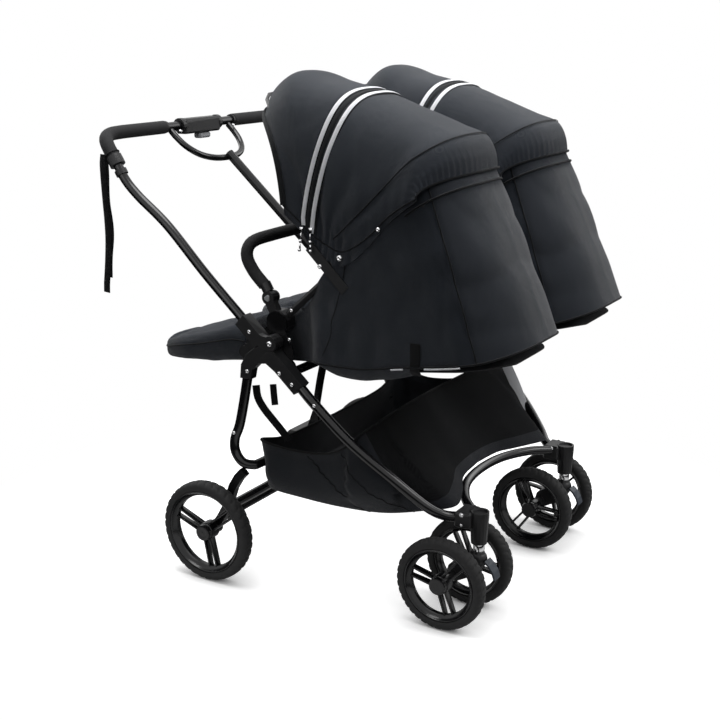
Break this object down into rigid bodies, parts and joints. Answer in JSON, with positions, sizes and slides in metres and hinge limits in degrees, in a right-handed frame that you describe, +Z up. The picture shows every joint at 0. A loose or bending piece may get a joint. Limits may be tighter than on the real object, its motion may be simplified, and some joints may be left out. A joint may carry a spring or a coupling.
{
  "type": "twin stroller",
  "caption": "Side-by-side twin stroller with lie-flat hooded seats facing the handle, twin-wheel swivel casters, a shared basket and a folding tube frame",
  "frame": {"origin": "on the floor under the middle of the bounding box", "axes": "+Z up, -Y forwards in the driving direction, +X to the left side when pushing; the stroller is symmetric about the YZ plane"},
  "size_m": [0.753, 0.9956, 1.0991],
  "materials": {
    "frame_paint": "satin black powder coat",
    "black_plastic": "fine-grained black moulding",
    "grip_foam": "matte black foam",
    "tyre": "matte black foam rubber with a grooved tread",
    "seat_fabric": "blue-black woven cloth",
    "mesh_fabric": "black mesh and cloth",
    "webbing": "black webbing",
    "grey_plastic": "light grey moulding",
    "slate_plastic": "blue-grey moulding"
  },
  "bodies": {
    "chassis": {"front_tube_left": "frame_paint", "front_tube_right": "frame_paint", "front_arch_tube": "frame_paint", "hinge_bracket_left": "black_plastic", "hinge_bracket_right": "black_plastic", "caster_housing_left": "black_plastic", "caster_housing_right": "black_plastic", "seat_crossbar": "frame_paint", "basket": "mesh_fabric"},
    "handle": {"handle_tube": "frame_paint", "handle_grip_left": "grip_foam", "handle_grip_right": "grip_foam", "handle_loop": "frame_paint", "centre_strut": "frame_paint", "handle_knuckle_left": "black_plastic", "handle_knuckle_right": "black_plastic", "fold_lock_box": "black_plastic", "wrist_strap": "webbing"},
    "fold_button": {"fold_release_button": "grey_plastic"},
    "rear_legs": {"rear_leg_tube": "frame_paint", "leg_shoulder_left": "black_plastic", "leg_shoulder_right": "black_plastic", "centre_leg": "frame_paint", "rear_axle": "frame_paint"},
    "brake": {"brake_pedal": "black_plastic"},
    "rear_wheel_right": {"rear_tyre_right": "tyre", "rear_rim_right": "black_plastic"},
    "caster_right": {"caster_fork_right": "black_plastic"},
    "caster_lock_right": {"caster_lock_lever_right": "slate_plastic"},
    "front_wheel_outer_right": {"front_tyre_outer_right": "tyre", "front_rim_outer_right": "black_plastic"},
    "front_wheel_inner_right": {"front_tyre_inner_right": "tyre", "front_rim_inner_right": "black_plastic"},
    "seat_right": {"seat_frame_right": "black_plastic", "seat_tub_right": "seat_fabric", "hood_cloth_right": "seat_fabric"},
    "leg_rest_body_right": {"leg_rest_right": "seat_fabric"},
    "bumper_right": {"bumper_bar_right": "grip_foam"},
    "bumper_release_right": {"bumper_button_right": "grey_plastic"},
    "hood_front_right": {"hood_front_bow_right": "black_plastic"},
    "hood_middle_right": {"hood_middle_bow_right": "black_plastic"},
    "rear_wheel_left": {"rear_tyre_left": "tyre", "rear_rim_left": "black_plastic"},
    "caster_left": {"caster_fork_left": "black_plastic"},
    "caster_lock_left": {"caster_lock_lever_left": "slate_plastic"},
    "front_wheel_outer_left": {"front_tyre_outer_left": "tyre", "front_rim_outer_left": "black_plastic"},
    "front_wheel_inner_left": {"front_tyre_inner_left": "tyre", "front_rim_inner_left": "black_plastic"},
    "seat_left": {"seat_frame_left": "black_plastic", "seat_tub_left": "seat_fabric", "hood_cloth_left": "seat_fabric"},
    "leg_rest_body_left": {"leg_rest_left": "seat_fabric"},
    "bumper_left": {"bumper_bar_left": "grip_foam"},
    "bumper_release_left": {"bumper_button_left": "grey_plastic"},
    "hood_front_left": {"hood_front_bow_left": "black_plastic"},
    "hood_middle_left": {"hood_middle_bow_left": "black_plastic"}
  },
  "joints": [
    {"name": "handle_fold", "type": "hinge", "parent": "chassis", "child": "handle", "pos_m": [0, 0.02725, 0.564], "axis": [1, 0, 0], "range_deg": [0, 145]},
    {"name": "rear_fold", "type": "hinge", "parent": "chassis", "child": "rear_legs", "pos_m": [0, 0.00825, 0.495], "axis": [1, 0, 0], "range_deg": [-50, 0], "deforming": ["basket"]},
    {"name": "fold_button_slide", "type": "slide", "parent": "handle", "child": "fold_button", "axis": [1, 0, 0], "range_m": [0, 0.008], "stiffness_N_per_m": 300},
    {"name": "brake_pedal_hinge", "type": "hinge", "parent": "rear_legs", "child": "brake", "pos_m": [0, 0.17025, 0.247], "axis": [1, 0, 0], "range_deg": [-20, 0]},
    {"name": "rear_wheel_right_spin", "type": "hinge", "parent": "rear_legs", "child": "rear_wheel_right", "pos_m": [-0.355, 0.21325, 0.113], "axis": [1, 0, 0], "continuous": true},
    {"name": "caster_right_swivel", "type": "hinge", "parent": "chassis", "child": "caster_right", "pos_m": [-0.2303, -0.38075, 0.14], "axis": [0, 0, 1], "continuous": true},
    {"name": "caster_lock_right_hinge", "type": "hinge", "parent": "caster_right", "child": "caster_lock_right", "pos_m": [-0.2303, -0.39925, 0.139], "axis": [1, 0, 0], "range_deg": [-25, 0]},
    {"name": "front_wheel_outer_right_spin", "type": "hinge", "parent": "caster_right", "child": "front_wheel_outer_right", "pos_m": [-0.2959, -0.32975, 0.097], "axis": [1, 0, 0], "continuous": true},
    {"name": "front_wheel_inner_right_spin", "type": "hinge", "parent": "caster_right", "child": "front_wheel_inner_right", "pos_m": [-0.1647, -0.32975, 0.097], "axis": [1, 0, 0], "continuous": true},
    {"name": "seat_right_tilt", "type": "hinge", "parent": "chassis", "child": "seat_right", "pos_m": [-0.184, 0.02825, 0.602], "axis": [-1, 0, 0], "range_deg": [0, 25]},
    {"name": "leg_rest_right_hinge", "type": "hinge", "parent": "seat_right", "child": "leg_rest_body_right", "pos_m": [-0.184, 0.13025, 0.521], "axis": [1, 0, 0], "range_deg": [-55, 0]},
    {"name": "bumper_right_hinge", "type": "hinge", "parent": "seat_right", "child": "bumper_right", "pos_m": [-0.184, 0.05225, 0.649], "axis": [1, 0, 0], "range_deg": [-70, 0]},
    {"name": "bumper_release_right_slide", "type": "slide", "parent": "seat_right", "child": "bumper_release_right", "axis": [1, 0, 0], "range_m": [0, 0.0018], "stiffness_N_per_m": 300},
    {"name": "hood_front_right_hinge", "type": "hinge", "parent": "seat_right", "child": "hood_front_right", "pos_m": [-0.184, -0.07675, 0.735], "axis": [1, 0, 0], "range_deg": [0, 76], "deforming": ["hood_cloth_right"]},
    {"name": "hood_middle_right_hinge", "type": "hinge", "parent": "seat_right", "child": "hood_middle_right", "pos_m": [-0.184, -0.07675, 0.735], "axis": [1, 0, 0], "range_deg": [0, 50.16]},
    {"name": "rear_wheel_left_spin", "type": "hinge", "parent": "rear_legs", "child": "rear_wheel_left", "pos_m": [0.355, 0.21325, 0.113], "axis": [1, 0, 0], "continuous": true},
    {"name": "caster_left_swivel", "type": "hinge", "parent": "chassis", "child": "caster_left", "pos_m": [0.2303, -0.38075, 0.14], "axis": [0, 0, 1], "continuous": true},
    {"name": "caster_lock_left_hinge", "type": "hinge", "parent": "caster_left", "child": "caster_lock_left", "pos_m": [0.2303, -0.39925, 0.139], "axis": [1, 0, 0], "range_deg": [-25, 0]},
    {"name": "front_wheel_outer_left_spin", "type": "hinge", "parent": "caster_left", "child": "front_wheel_outer_left", "pos_m": [0.2959, -0.32975, 0.097], "axis": [1, 0, 0], "continuous": true},
    {"name": "front_wheel_inner_left_spin", "type": "hinge", "parent": "caster_left", "child": "front_wheel_inner_left", "pos_m": [0.1647, -0.32975, 0.097], "axis": [1, 0, 0], "continuous": true},
    {"name": "seat_left_tilt", "type": "hinge", "parent": "chassis", "child": "seat_left", "pos_m": [0.184, 0.02825, 0.602], "axis": [-1, 0, 0], "range_deg": [0, 25]},
    {"name": "leg_rest_left_hinge", "type": "hinge", "parent": "seat_left", "child": "leg_rest_body_left", "pos_m": [0.184, 0.13025, 0.521], "axis": [1, 0, 0], "range_deg": [-55, 0]},
    {"name": "bumper_left_hinge", "type": "hinge", "parent": "seat_left", "child": "bumper_left", "pos_m": [0.184, 0.05225, 0.649], "axis": [1, 0, 0], "range_deg": [-70, 0]},
    {"name": "bumper_release_left_slide", "type": "slide", "parent": "seat_left", "child": "bumper_release_left", "axis": [-1, 0, 0], "range_m": [0, 0.0018], "stiffness_N_per_m": 300},
    {"name": "hood_front_left_hinge", "type": "hinge", "parent": "seat_left", "child": "hood_front_left", "pos_m": [0.184, -0.07675, 0.735], "axis": [1, 0, 0], "range_deg": [0, 76], "deforming": ["hood_cloth_left"]},
    {"name": "hood_middle_left_hinge", "type": "hinge", "parent": "seat_left", "child": "hood_middle_left", "pos_m": [0.184, -0.07675, 0.735], "axis": [1, 0, 0], "range_deg": [0, 50.16]}
  ],
  "couplings": [
    {"joint": "rear_fold", "follows": "handle_fold", "ratio": -0.3448},
    {"joint": "hood_middle_right_hinge", "follows": "hood_front_right_hinge", "ratio": 0.66},
    {"joint": "hood_middle_left_hinge", "follows": "hood_front_left_hinge", "ratio": 0.66}
  ]
}
